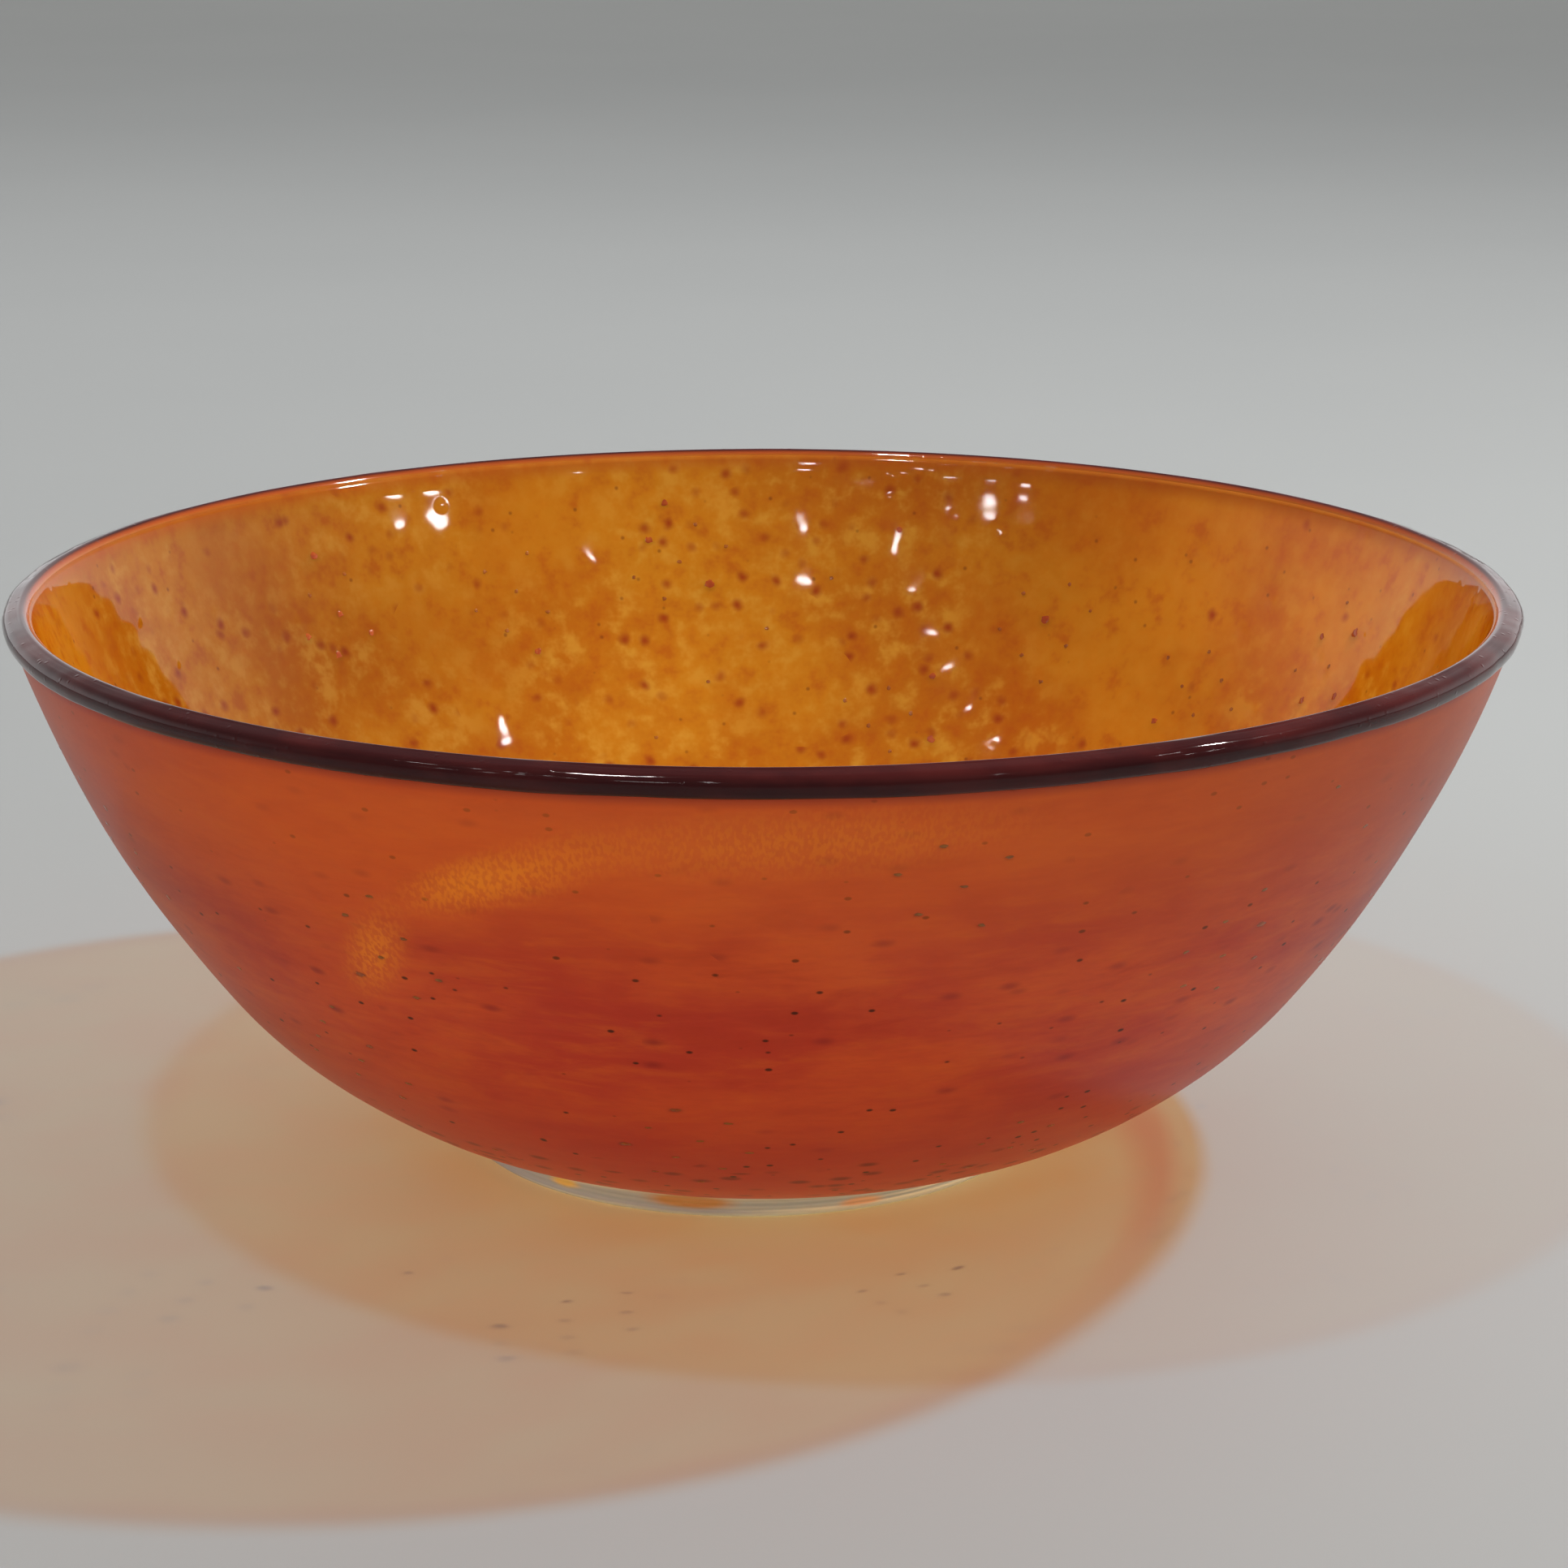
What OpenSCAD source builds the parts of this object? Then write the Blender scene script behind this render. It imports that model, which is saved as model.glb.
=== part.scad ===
// A hand-blown art glass bowl: a cased wall with colour and frit melted in, a dark lip wrap
// and a clear disc foot. Millimetres, +Z up. The origin is on the table, under the rim's centre.

/* [Bowl] */
// Diameter of the rim, over the lip wrap
rim_d = 240; // [236:1:260]
// Height from the table to the top of the lip
bowl_h = 91; // [90:0.5:96]
// Slope of the wall at the lip, from horizontal
lip_slope = 72.5; // [72:0.5:75]
// Radius of the long, gentle curve of the upper wall
wall_r = 184; // [180:1:192]
// Angle that the gentle curve turns through, before the tighter curve of the belly
wall_turn = 20; // [19:0.5:21]
// Height at which the belly's curve would bottom out, if the foot didn't flatten it
keel_h = 1.2; // [0.8:0.1:1.4]

/* [Glass layers] */
// Thickness of the outer casing
casing_t = 1.6; // [1.4:0.1:2]
// Thickness of the colour layer
colour_t = 0.7; // [0.6:0.1:1]
// Thickness of the clear lining inside
lining_t = 1.7; // [1.5:0.1:2]
// How much thicker each casing is across the bowl's floor
floor_extra = 0.4; // [0:0.1:1]

/* [Lip wrap] */
// Thickness of the wrap, along the slope of the wall
wrap_t = 3.6; // [3.4:0.1:4]
// Width of the wrap, across the wall
wrap_w = 5.2; // [5:0.1:6]
// How far the wrap stands out from the outside of the wall
wrap_proud = 1; // [0.8:0.1:1.2]

/* [Foot] */
// Diameter of the foot
foot_d = 94.8; // [92:0.2:98]
// Thickness of the foot under the flattened middle of the bowl
foot_t = 3; // [2.6:0.1:3.4]
// How far the foot was set down off the bowl's centre, along X
foot_shift = -2.4; // [-3:0.1:0]
// Radius of the melted lower edge
foot_edge_r = 1; // [0.6:0.1:1.4]
// Diameter of the hollow ground into the underside
hollow_d = 76; // [70:1:80]
// Depth of that hollow
hollow_depth = 1.2; // [0.8:0.1:1.6]

/* [Frit] */
// Radius of the smallest red chip
chip_r_min = 0.7; // [0.5:0.1:0.8]
// Radius of the largest red chip
chip_r_max = 1.2; // [1:0.1:1.4]
// Radius of the dark grains
grain_r = 0.4; // [0.3:0.05:0.5]
// Reach of each drift of frit, from its middle
drift_reach = 11; // [8:1:12]

/* [Hidden] */
$fn = 180;

// A direction in the bowl's section, square to a wall of the given slope and pointing outwards.
function outwards(slope) = [sin(slope), -cos(slope)];

// The wrap's section is a bar with round ends, square to the wall at the lip.
wrap_end_r = wrap_t / 2;
wrap_reach = wrap_w / 2 - wrap_end_r;
wrap_tilt = 90 - lip_slope;
wrap_centre = [rim_d / 2 - wrap_end_r - wrap_reach * cos(wrap_tilt),
               bowl_h - wrap_end_r - wrap_reach * sin(wrap_tilt)];
wrap_depth = wrap_w / 2 - wrap_proud;

// Centre of the upper wall's curve, and the slope at which the belly takes over from it.
wall_centre = wrap_centre + (wrap_depth - wall_r) * outwards(lip_slope);
belly_slope = lip_slope - wall_turn;

// Each surface is [depth below the outside of the wall, height of its floor].
outer_surface = [0, keel_h];
colour_outside = [casing_t, foot_t + casing_t + floor_extra];
colour_inside = colour_outside + [colour_t, colour_t];
inner_surface = colour_inside + [lining_t, lining_t + floor_extra];

// Where a surface passes from the wall's curve to the belly's, and the belly's own curve.
function joint(s) = wall_centre + (wall_r - s[0]) * outwards(belly_slope);
function belly_r(s) = (joint(s)[1] - s[1]) / (1 - cos(belly_slope));
function belly_centre(s) = joint(s) - belly_r(s) * outwards(belly_slope);

// Slope and radius of the colour layer's outside at a height above the table.
function slope_at(h) = h > joint(colour_outside)[1]
    ? acos((wall_centre[1] - h) / (wall_r - colour_outside[0]))
    : acos((belly_centre(colour_outside)[1] - h) / belly_r(colour_outside));
function radius_at(h) = h > joint(colour_outside)[1]
    ? wall_centre[0] + (wall_r - colour_outside[0]) * sin(slope_at(h))
    : belly_centre(colour_outside)[0] + belly_r(colour_outside) * sin(slope_at(h));

// Frit is strewn evenly by the golden angle, and then kept where a drift lies.
golden_angle = 137.508;
strewn = 900;
strewn_low = 16;
strewn_high = 82;
stray_every = 41;
chip_every = 3;
// Middle of each drift: [direction around the bowl, height above the table].
drifts = [[116, 64], [99, 71], [137, 68], [75, 44], [60, 60], [40, 56], [24, 67], [172, 50], [205, 62],
          [228, 36], [241, 58], [263, 25], [282, 74], [296, 19], [309, 56], [337, 40]];

function around(i) = (i * golden_angle) % 360;
function height(i) = strewn_low + (strewn_high - strewn_low) * i / strewn;
function turn_between(a, b) = abs((a - b + 540) % 360 - 180);
function in_drift(i) = len([for (d = drifts)
    if (norm([turn_between(around(i), d[0]) * PI / 180 * radius_at(height(i)), height(i) - d[1]]) < drift_reach)
    i]) > 0;
frit = [for (i = [0 : strewn - 1]) if (in_drift(i) || i % stray_every == 0) i];
chips = [for (k = [0 : len(frit) - 1]) if (k % chip_every == 0) frit[k]];
grains = [for (k = [0 : len(frit) - 1]) if (k % chip_every != 0) frit[k]];
function chip_r(i) = chip_r_min + (chip_r_max - chip_r_min) * (i % 7) / 6;

// Half section of everything inside a surface, up to a given height. The underside is flat
// where the foot is fused on.
module inside(s, top) {
    joint = joint(s);
    centre = belly_centre(s);
    difference() {
        union() {
            intersection() {
                translate(wall_centre) circle(wall_r - s[0]);
                translate([0, joint[1]]) square([rim_d, top - joint[1]]);
            }
            intersection() {
                translate(centre) circle(belly_r(s));
                translate([centre[0], 0]) square([rim_d, joint[1]]);
            }
            translate([0, s[1]]) square([centre[0], joint[1] - s[1]]);
        }
        square([rim_d, foot_t]);
    }
}

module wrap_section() {
    translate(wrap_centre) rotate(-wrap_tilt) {
        square([2 * wrap_reach, wrap_t], center = true);
        for (side = [-1, 1]) translate([side * wrap_reach, 0]) circle(wrap_end_r);
    }
}

module foot_section() {
    height = 3 * foot_t;
    radius = foot_d / 2;
    hollow_r = (pow(hollow_d / 2, 2) + pow(hollow_depth, 2)) / (2 * hollow_depth);
    difference() {
        union() {
            square([radius - foot_edge_r, height]);
            translate([0, foot_edge_r]) square([radius, height - foot_edge_r]);
            translate([radius - foot_edge_r, foot_edge_r]) circle(foot_edge_r);
        }
        translate([0, hollow_depth - hollow_r]) circle(hollow_r, $fn = 1440);
    }
}

// One layer of glass, between its outer and its inner surface, from the floor up into the wrap.
module layer(from, to) {
    rotate_extrude() difference() {
        inside(from, wrap_centre[1]);
        inside(to, bowl_h);
        wrap_section();
    }
}

module colour_shell() {
    layer(colour_outside, colour_inside);
}

// A plug of frit, square to the wall and long enough to pass right through the colour layer.
module plug(i, radius) {
    rotate([0, 0, around(i)])
        translate([radius_at(height(i)), 0, height(i)])
            rotate([0, 180 - slope_at(height(i)), 0])
                cylinder(h = 4 * colour_t, r = radius, center = true);
}

module chip_plugs() {
    for (i = chips) plug(i, chip_r(i));
}

module grain_plugs() {
    for (i = grains) plug(i, grain_r);
}

module clear_foot() {
    color([0.86, 0.9, 0.92, 0.6]) difference() {
        translate([foot_shift, 0, 0]) rotate_extrude() foot_section();
        rotate_extrude() inside(outer_surface, bowl_h);
    }
}

module outer_casing() {
    color([0.76, 0.22, 0.08]) layer(outer_surface, colour_outside);
}

module colour_layer() {
    color([0.9, 0.42, 0.08]) difference() {
        colour_shell();
        chip_plugs();
        grain_plugs();
    }
}

module red_frit_chips() {
    color([0.5, 0.05, 0.05]) intersection() {
        colour_shell();
        chip_plugs();
    }
}

module dark_frit_grains() {
    color([0.14, 0.06, 0.04]) intersection() {
        colour_shell();
        grain_plugs();
    }
}

module inner_lining() {
    color([0.9, 0.56, 0.12]) layer(colour_inside, inner_surface);
}

module lip_wrap() {
    color([0.16, 0.05, 0.07]) rotate_extrude() wrap_section();
}

clear_foot();
outer_casing();
colour_layer();
red_frit_chips();
dark_frit_grains();
inner_lining();
lip_wrap();
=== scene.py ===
"""A hand-blown art glass bowl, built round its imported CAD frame: an amber lining and a red-orange
casing over melted colour and frit, a near-black lip wrap and a clear foot. Metres, +Z up."""
import math

import bmesh
import bpy
import numpy as np
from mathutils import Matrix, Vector


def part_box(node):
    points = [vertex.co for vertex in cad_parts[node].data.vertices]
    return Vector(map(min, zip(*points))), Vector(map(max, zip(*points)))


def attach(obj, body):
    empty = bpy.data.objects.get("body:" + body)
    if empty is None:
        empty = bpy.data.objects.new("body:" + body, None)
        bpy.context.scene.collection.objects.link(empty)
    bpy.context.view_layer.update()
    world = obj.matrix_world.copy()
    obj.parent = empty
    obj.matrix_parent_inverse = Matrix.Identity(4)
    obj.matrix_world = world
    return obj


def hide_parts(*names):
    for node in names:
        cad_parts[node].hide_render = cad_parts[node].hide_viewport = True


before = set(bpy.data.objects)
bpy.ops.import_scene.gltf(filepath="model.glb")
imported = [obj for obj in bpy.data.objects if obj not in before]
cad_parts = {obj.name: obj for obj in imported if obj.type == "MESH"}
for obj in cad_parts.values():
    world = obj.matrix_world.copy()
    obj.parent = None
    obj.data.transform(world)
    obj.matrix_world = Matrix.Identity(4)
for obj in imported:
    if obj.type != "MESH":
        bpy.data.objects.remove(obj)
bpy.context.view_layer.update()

MM = 0.001

# ---------------------------------------------------------------- the bowl's own dimensions
# The same curves as the CAD model: a long arc for the wall, run into a tighter one for the belly.
RIM_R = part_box("lip_wrap")[1].x
TOP_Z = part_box("lip_wrap")[1].z
LIP_SLOPE = math.radians(72.5)
BELLY_SLOPE = math.radians(52.5)
WALL_R = 184 * MM
WRAP_T = 3.6 * MM
WRAP_W = 5.2 * MM
WRAP_PROUD = 1.0 * MM
CASING_T = 1.6 * MM
WALL_T = 4.0 * MM
KEEL_Z = 1.2 * MM           # how low the outside's curve would run if it weren't cut off flat
UNDERSIDE_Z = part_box("outer_casing")[0].z
CASING_FLOOR_Z = 5.0 * MM
INSIDE_FLOOR_Z = 7.8 * MM

FOOT_LOW, FOOT_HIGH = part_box("clear_foot")
FOOT_X = (FOOT_LOW.x + FOOT_HIGH.x) / 2
FOOT_R = (FOOT_HIGH.x - FOOT_LOW.x) / 2
FOOT_EDGE_R = 1.0 * MM
HOLLOW_R = 38 * MM
HOLLOW_DEPTH = 1.2 * MM


def outwards(slope):
    """The direction square to a wall of that slope, as (radius, height)."""
    return np.array([math.sin(slope), -math.cos(slope)])


WRAP_REACH = (WRAP_W - WRAP_T) / 2
WRAP_CENTRE = np.array([RIM_R - WRAP_T / 2 - WRAP_REACH * math.sin(LIP_SLOPE),
                        TOP_Z - WRAP_T / 2 - WRAP_REACH * math.cos(LIP_SLOPE)])
WRAP_INSIDE_R = 115.55 * MM     # how near the axis the wrap's inner end comes
WALL_CENTRE = WRAP_CENTRE + (WRAP_W / 2 - WRAP_PROUD - WALL_R) * outwards(LIP_SLOPE)


class Surface:
    """One surface of the wall, at a depth below its outside, with its floor at a given height."""

    def __init__(self, depth, floor_z):
        self.wall_r = WALL_R - depth
        self.floor_z = floor_z
        self.joint = WALL_CENTRE + self.wall_r * outwards(BELLY_SLOPE)
        self.belly_r = (self.joint[1] - floor_z) / (1 - math.cos(BELLY_SLOPE))
        self.belly_centre = self.joint - self.belly_r * outwards(BELLY_SLOPE)

    def radius(self, z):
        """Radius at a height, or at an array of heights."""
        wall = WALL_CENTRE[0] + np.sqrt(np.maximum(self.wall_r ** 2 - (WALL_CENTRE[1] - z) ** 2, 0))
        rise = np.maximum(self.belly_r ** 2 - (self.belly_centre[1] - z) ** 2, 0)
        return np.where(z > self.joint[1], wall, self.belly_centre[0] + np.sqrt(rise))

    def height(self, r):
        """Height on the belly at a radius, which is the floor's inside the belly's curve."""
        out = np.clip(r - self.belly_centre[0], 0, self.belly_r)
        return self.belly_centre[1] - np.sqrt(self.belly_r ** 2 - out ** 2)

    def profile(self, top_z, step):
        """Points from the axis out across the floor and up the wall to a height, step apart."""
        floor = [(r, self.floor_z) for r in np.arange(0, self.belly_centre[0], step)]
        belly = self._arc(self.belly_centre, self.belly_r, 0, BELLY_SLOPE, step)
        top_slope = math.acos((WALL_CENTRE[1] - top_z) / self.wall_r)
        wall = self._arc(WALL_CENTRE, self.wall_r, BELLY_SLOPE, top_slope, step)
        return np.array(floor + belly[:-1] + wall)

    @staticmethod
    def _arc(centre, radius, start, end, step):
        count = max(2, int(radius * abs(end - start) / step))
        return [tuple(centre + radius * outwards(a)) for a in np.linspace(start, end, count + 1)]


OUTSIDE = Surface(0, KEEL_Z)
BETWEEN = Surface(CASING_T, CASING_FLOOR_Z)
INSIDE = Surface(WALL_T, INSIDE_FLOOR_Z)


# ---------------------------------------------------------------- node helpers
def set_input(tree, socket, value):
    """Links an input to a socket, or sets its value. A colour is given without its alpha."""
    if isinstance(value, bpy.types.NodeSocket):
        tree.links.new(value, socket)
    elif isinstance(value, tuple) and len(value) == 3 and socket.type == "RGBA":
        socket.default_value = (*value, 1)
    else:
        socket.default_value = value


def add(tree, kind, settings=None, **inputs):
    """Adds a shader node, with its settings and its inputs, by their names with _ for a space."""
    node = tree.nodes.new("ShaderNode" + kind)
    for key, value in (settings or {}).items():
        setattr(node, key, value)
    for key, value in inputs.items():
        set_input(tree, node.inputs[key.replace("_", " ")], value)
    return node


def maths(tree, operation, a, b=0.0, clamp=False):
    node = add(tree, "Math", {"operation": operation, "use_clamp": clamp})
    set_input(tree, node.inputs[0], a)
    set_input(tree, node.inputs[1], b)
    return node.outputs[0]


def blend(tree, factor, a, b, mode="MIX"):
    """Colour a where the factor is 0, and b (or a by b, in another mode) where it is 1."""
    node = add(tree, "Mix", {"data_type": "RGBA", "blend_type": mode})
    for index, value in ((0, factor), (6, a), (7, b)):
        set_input(tree, node.inputs[index], value)
    return node.outputs[2]


def remap(tree, value, low, high, to_low=0.0, to_high=1.0):
    """value from low to high becomes to_low to to_high, smoothly, and stays inside that range."""
    node = add(tree, "MapRange", {"interpolation_type": "SMOOTHSTEP"}, Value=value)
    for key, number in (("From Min", low), ("From Max", high), ("To Min", to_low), ("To Max", to_high)):
        node.inputs[key].default_value = number
    return node.outputs[0]


def stretched(tree, x, y, z):
    """Object coordinates in metres, each multiplied, so that a pattern is flattened along it."""
    place = add(tree, "TexCoord").outputs["Object"]
    return add(tree, "Mapping", Vector=place, Scale=(x, y, z)).outputs[0]


def noise(tree, vector, size, detail=3.0, roughness=0.5, distortion=0.0):
    """Soft noise whose lumps are about size across, in metres."""
    return add(tree, "TexNoise", Vector=vector, Scale=0.5 / size, Detail=detail, Roughness=roughness,
               Distortion=distortion).outputs[0]


def spots(tree, vector, cell, radius, share, soft=0.3, strength=1.0):
    """Round spots of a radius in a share of the cells of a loose grid. 0 outside the spots."""
    cells = add(tree, "TexVoronoi", Vector=vector, Scale=1 / cell, Randomness=1.0)
    edge = radius / cell
    inside = remap(tree, cells.outputs["Distance"], edge, edge * (1 - soft), 0, strength)
    lot = add(tree, "SeparateColor", Color=cells.outputs["Color"]).outputs[0]
    return maths(tree, "MULTIPLY", inside, maths(tree, "LESS_THAN", lot, share))


def patch(tree, azimuth, height, radii, lean=0.0, out=None):
    """A soft patch, 1 in its middle, with radii (along, up). It is on the casing, or as far out from
    the axis as is given. azimuth, from +X towards +Y, and lean are in degrees."""
    a = math.radians(azimuth)
    r = float(OUTSIDE.radius(height)) if out is None else out
    place = add(tree, "TexCoord").outputs["Object"]
    moved = add(tree, "VectorMath", {"operation": "SUBTRACT"})
    tree.links.new(place, moved.inputs[0])
    moved.inputs[1].default_value = (r * math.cos(a), r * math.sin(a), height)
    level = add(tree, "VectorRotate", {"rotation_type": "Z_AXIS"}, Vector=moved.outputs[0],
                Angle=-a - math.pi / 2)
    tilted = add(tree, "VectorRotate", {"rotation_type": "Y_AXIS"}, Vector=level.outputs[0],
                 Angle=math.radians(lean))
    along, up = radii
    unit = add(tree, "Mapping", Vector=tilted.outputs[0], Scale=(1 / along, 1 / along, 1 / up))
    away = add(tree, "VectorMath", {"operation": "LENGTH"})
    tree.links.new(unit.outputs[0], away.inputs[0])
    return remap(tree, away.outputs["Value"], 1, 0)


def above_floor(tree):
    """Height above the floor, in metres."""
    return add(tree, "SeparateXYZ", Vector=add(tree, "TexCoord").outputs["Object"]).outputs[2]


def from_axis(tree):
    """Distance from the bowl's axis, in metres."""
    node = add(tree, "VectorMath", {"operation": "LENGTH"})
    tree.links.new(stretched(tree, 1, 1, 0), node.inputs[0])
    return node.outputs["Value"]


def bump(tree, height, distance, normal=None):
    """The normal of a relief as deep as the distance, laid over another relief's normal if given."""
    node = add(tree, "Bump", Height=height, Strength=1.0, Distance=distance)
    if normal is not None:
        tree.links.new(normal, node.inputs["Normal"])
    return node.outputs[0]


def new_material(name):
    material = bpy.data.materials.new(name)
    material.use_nodes = True
    tree = material.node_tree
    tree.nodes.clear()
    return material, tree, tree.nodes.new("ShaderNodeOutputMaterial")


def lit_through(tree, shader, tint):
    """The shader, except that lamps' rays pass through it with a tint, as through coloured glass."""
    clear = add(tree, "BsdfTransparent", Color=tint)
    ray = add(tree, "LightPath").outputs["Is Shadow Ray"]
    mix = add(tree, "MixShader")
    set_input(tree, mix.inputs[0], ray)
    tree.links.new(shader, mix.inputs[1])
    tree.links.new(clear.outputs[0], mix.inputs[2])
    return mix.outputs[0]


def glow_through(tree, surface, colour, share):
    """A share of the surface lets light through from behind, spread out as opal glass does."""
    thin = add(tree, "BsdfTranslucent", Color=colour)
    mix = add(tree, "MixShader")
    mix.inputs[0].default_value = share
    tree.links.new(surface, mix.inputs[1])
    tree.links.new(thin.outputs[0], mix.inputs[2])
    return mix.outputs[0]


# ---------------------------------------------------------------- materials
WALL_TINT = (1.0, 0.77, 0.46)      # what a lamp's light keeps, through half of the wall
WALL_TINT_THICK = (1.0, 0.71, 0.39)


def wall_tint(tree, place):
    """Tint of the light that comes through half of the wall, uneven as the powder in it is."""
    powder = noise(tree, place, 7 * MM, 3)
    return blend(tree, remap(tree, powder, 0.35, 0.65), WALL_TINT_THICK, WALL_TINT)


# Colours of the casing: its clouds, its streaks and the marks on it, then painted light and shade and
# the other changes its place makes to them.
RED = (0.51, 0.051, 0.028)
RED_ORANGE = (0.65, 0.101, 0.029)
ORANGE_STREAK = (0.73, 0.160, 0.026)
DEEP_STREAK = (0.43, 0.038, 0.019)
FINE_STREAK = (0.38, 0.034, 0.017)
MAROON_SMEAR = (0.29, 0.022, 0.022)
DARK_SMEAR = (0.17, 0.015, 0.012)
DARK_SEED = (0.045, 0.012, 0.007)
PAINTED_SHADE_RED = (0.36, 0.035, 0.026)
PAINTED_LIGHT_ORANGE = (0.80, 0.175, 0.024)
PAINTED_GLOW_ORANGE = (0.92, 0.31, 0.025)
FOOT_ORANGE = (0.42, 0.10, 0.02)
UNDER_LIP_RED = (0.26, 0.030, 0.030)
# painted shade, multiplied in at the casing's left and right sides
LEFT_SHADE = (0.46, 0.46, 0.60)
RIGHT_SHADE = (0.66, 0.66, 0.98)

# Painted glow, where light from inside would shine through the wall: azimuth, height, radii, lean,
# strength.
PAINTED_GLOW_PATCHES = ((-108, 73 * MM, (26 * MM, 6 * MM), 20, 0.8),
                (-111, 71.5 * MM, (13 * MM, 4.5 * MM), 22, 0.9),
                (-121, 57 * MM, (15 * MM, 6 * MM), 52, 0.8),
                (-88, 80 * MM, (44 * MM, 7 * MM), 3, 0.5))


def smoky_red(tree):
    """Red and red-orange clouds, drawn out into smoky streaks round the bowl."""
    flat = stretched(tree, 1, 1, 2.2)
    drawn = stretched(tree, 1, 1, 5)
    clouds = noise(tree, flat, 22 * MM, 5, 0.6, 0.2)
    streaks = noise(tree, drawn, 8 * MM, 5, 0.62, 0.5)
    fine = noise(tree, drawn, 2.0 * MM, 3, 0.6)
    red = blend(tree, remap(tree, clouds, 0.36, 0.64), RED, RED_ORANGE)
    red = blend(tree, remap(tree, streaks, 0.45, 0.72, 0, 0.40), red, ORANGE_STREAK)
    red = blend(tree, remap(tree, streaks, 0.50, 0.28, 0, 0.40), red, DEEP_STREAK)
    return blend(tree, remap(tree, fine, 0.40, 0.75, 0, 0.16), red, FINE_STREAK)


def smeared(tree, red, even, height):
    """The red with maroon smears in drifts, painted shade deeper red low down, and dark seeds that crowd
    towards the foot.
    """
    drift = remap(tree, noise(tree, even, 30 * MM, 2), 0.42, 0.62, 0.08, 0.60)
    smears = spots(tree, stretched(tree, 1, 1, 2.2), 8 * MM, 2.4 * MM, drift, 0.95, 0.75)
    red = blend(tree, smears, red, MAROON_SMEAR)
    # painted shade: deeper red towards the foot
    red = blend(tree, remap(tree, height, 46 * MM, 16 * MM, 0, 0.75), red, PAINTED_SHADE_RED)
    low_share = remap(tree, height, 24 * MM, 11 * MM, 0, 0.9)
    low_smears = spots(tree, stretched(tree, 1, 1, 2.4), 5.0 * MM, 2.2 * MM, low_share, 0.7, 0.9)
    red = blend(tree, low_smears, red, DARK_SMEAR)
    seed_share = remap(tree, height, 30 * MM, 12 * MM, 0.2, 0.95)
    seeds = spots(tree, stretched(tree, 1, 1, 1.7), 3.6 * MM, 0.68 * MM, seed_share, 0.5, 0.92)
    return blend(tree, seeds, red, DARK_SEED)


def red_with_painted_light(tree, red, height):
    """The red with painted light, oranger up the wall and in patches where light comes through it, and
    painted shade, darker at both sides.
    """
    # painted light: oranger up the wall, where light from inside comes through
    painted_light_by_height = remap(tree, height, 50 * MM, 80 * MM, 0, 0.55)
    red = blend(tree, painted_light_by_height, red, PAINTED_LIGHT_ORANGE)
    # painted light: glowing orange patches with a fine sparkle, where light from inside would shine
    # through
    painted_sparkle = remap(tree, noise(tree, stretched(tree, 1, 1, 0.4), 0.30 * MM, 1), 0.40, 0.62, 0.35, 1)
    for azimuth, up, radii, lean, strength in PAINTED_GLOW_PATCHES:
        painted_glow = maths(tree, "MULTIPLY", patch(tree, azimuth, up, radii, lean), strength)
        red = blend(tree, maths(tree, "MULTIPLY", painted_glow, painted_sparkle), red, PAINTED_GLOW_ORANGE)
    # painted shade: darker at the left and right sides
    left = patch(tree, 188, 60 * MM, (120 * MM, 110 * MM))
    red = blend(tree, left, red, LEFT_SHADE, "MULTIPLY")
    right = patch(tree, -6, 60 * MM, (85 * MM, 100 * MM))
    red = blend(tree, right, red, RIGHT_SHADE, "MULTIPLY")
    red = blend(tree, remap(tree, height, 9 * MM, 3 * MM, 0, 0.5), red, FOOT_ORANGE)
    by_lip = remap(tree, height, TOP_Z - 6 * MM, TOP_Z - 4 * MM, 0, 0.6)
    return blend(tree, by_lip, red, UNDER_LIP_RED)


def casing_material():
    """Red-orange casing with a soft gloss."""
    material, tree, out = new_material("red_orange_casing")
    even = stretched(tree, 1, 1, 1)
    height = above_floor(tree)
    red = red_with_painted_light(tree, smeared(tree, smoky_red(tree), even, height), height)
    peel = bump(tree, noise(tree, even, 1.0 * MM, 2), 0.012 * MM)
    glass = add(tree, "BsdfPrincipled", Base_Color=red, Roughness=0.3, IOR=1.5, Normal=peel,
                Specular_IOR_Level=0.22)
    shader = glow_through(tree, glass.outputs[0], red, 0.22)
    tree.links.new(lit_through(tree, shader, wall_tint(tree, even)), out.inputs[0])
    return material


# Colours of the lining: its clouds and veins and the marks in it, then painted shade and light and the
# other changes its place makes to them.
AMBER = (0.55, 0.205, 0.005)
YELLOW_AMBER = (0.64, 0.310, 0.010)
OCHRE_VEIN = (0.70, 0.42, 0.040)
BROWN_CELL = (0.50, 0.140, 0.005)
RUST_SPOT = (0.38, 0.075, 0.006)
BROWN_SEED = (0.20, 0.055, 0.006)
PAINTED_SHADE_BACK_LEFT = (0.66, 0.60, 0.8)
PAINTED_LIGHT_BACK_RIGHT = (1.30, 1.25, 1.0)
NEAR_LIP_ORANGE = (0.52, 0.135, 0.012)


def veined_amber(tree, even, drift):
    """Clouds of two ambers, with ochre veins and browner cells between them."""
    clouds = noise(tree, even, 17 * MM, 3, 0.5)
    cells = noise(tree, even, 2.4 * MM, 3, 0.6)
    amber = blend(tree, remap(tree, clouds, 0.35, 0.65), AMBER, YELLOW_AMBER)
    in_drifts = remap(tree, drift, 0.38, 0.58, 0.25, 0.9)
    veins = maths(tree, "MULTIPLY", remap(tree, cells, 0.46, 0.72), in_drifts)
    amber = blend(tree, veins, amber, OCHRE_VEIN)
    return blend(tree, remap(tree, cells, 0.50, 0.26, 0, 0.7), amber, BROWN_CELL)


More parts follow.
